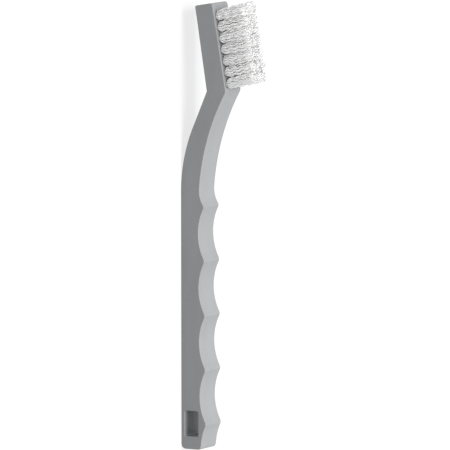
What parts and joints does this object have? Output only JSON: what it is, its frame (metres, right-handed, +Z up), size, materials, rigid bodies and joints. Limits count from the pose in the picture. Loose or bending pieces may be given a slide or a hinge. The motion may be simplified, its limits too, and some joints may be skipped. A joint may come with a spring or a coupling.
{
  "type": "instrument cleaning brush",
  "caption": "Long plastic-handled cleaning brush with a finger-scalloped grip, a hang slot at the tail, a bent neck and a leaning head of short white nylon tufts.",
  "frame": {"origin": "middle of the bottom of the brush's box: under the middle of its length, on the plane of the grip's straight back", "axes": "+X from the tail to the head, +Y across the width to the brush's left side, +Z up from the grip's straight back to the bristles"},
  "size_m": [0.1846, 0.0126, 0.034],
  "materials": {
    "handle_plastic": "injection-moulded polypropylene, grey, fine satin texture",
    "bristle_nylon": "crimped natural white nylon filament, translucent",
    "anchor_wire": "drawn flat wire, cut to length"
  },
  "bodies": {
    "root": {"handle": "handle_plastic", "tuft_1_right": "bristle_nylon", "tuft_1_middle": "bristle_nylon", "tuft_1_left": "bristle_nylon", "tuft_2_right": "bristle_nylon", "tuft_2_middle": "bristle_nylon", "tuft_2_left": "bristle_nylon", "tuft_3_right": "bristle_nylon", "tuft_3_middle": "bristle_nylon", "tuft_3_left": "bristle_nylon", "tuft_4_right": "bristle_nylon", "tuft_4_middle": "bristle_nylon", "tuft_4_left": "bristle_nylon", "tuft_5_right": "bristle_nylon", "tuft_5_middle": "bristle_nylon", "tuft_5_left": "bristle_nylon", "tuft_6_right": "bristle_nylon", "tuft_6_middle": "bristle_nylon", "tuft_6_left": "bristle_nylon", "tuft_7_right": "bristle_nylon", "tuft_7_middle": "bristle_nylon", "tuft_7_left": "bristle_nylon", "anchor_1_right": "anchor_wire", "anchor_1_middle": "anchor_wire", "anchor_1_left": "anchor_wire", "anchor_2_right": "anchor_wire", "anchor_2_middle": "anchor_wire", "anchor_2_left": "anchor_wire", "anchor_3_right": "anchor_wire", "anchor_3_middle": "anchor_wire", "anchor_3_left": "anchor_wire", "anchor_4_right": "anchor_wire", "anchor_4_middle": "anchor_wire", "anchor_4_left": "anchor_wire", "anchor_5_right": "anchor_wire", "anchor_5_middle": "anchor_wire", "anchor_5_left": "anchor_wire", "anchor_6_right": "anchor_wire", "anchor_6_middle": "anchor_wire", "anchor_6_left": "anchor_wire", "anchor_7_right": "anchor_wire", "anchor_7_middle": "anchor_wire", "anchor_7_left": "anchor_wire"}
  },
  "joints": []
}
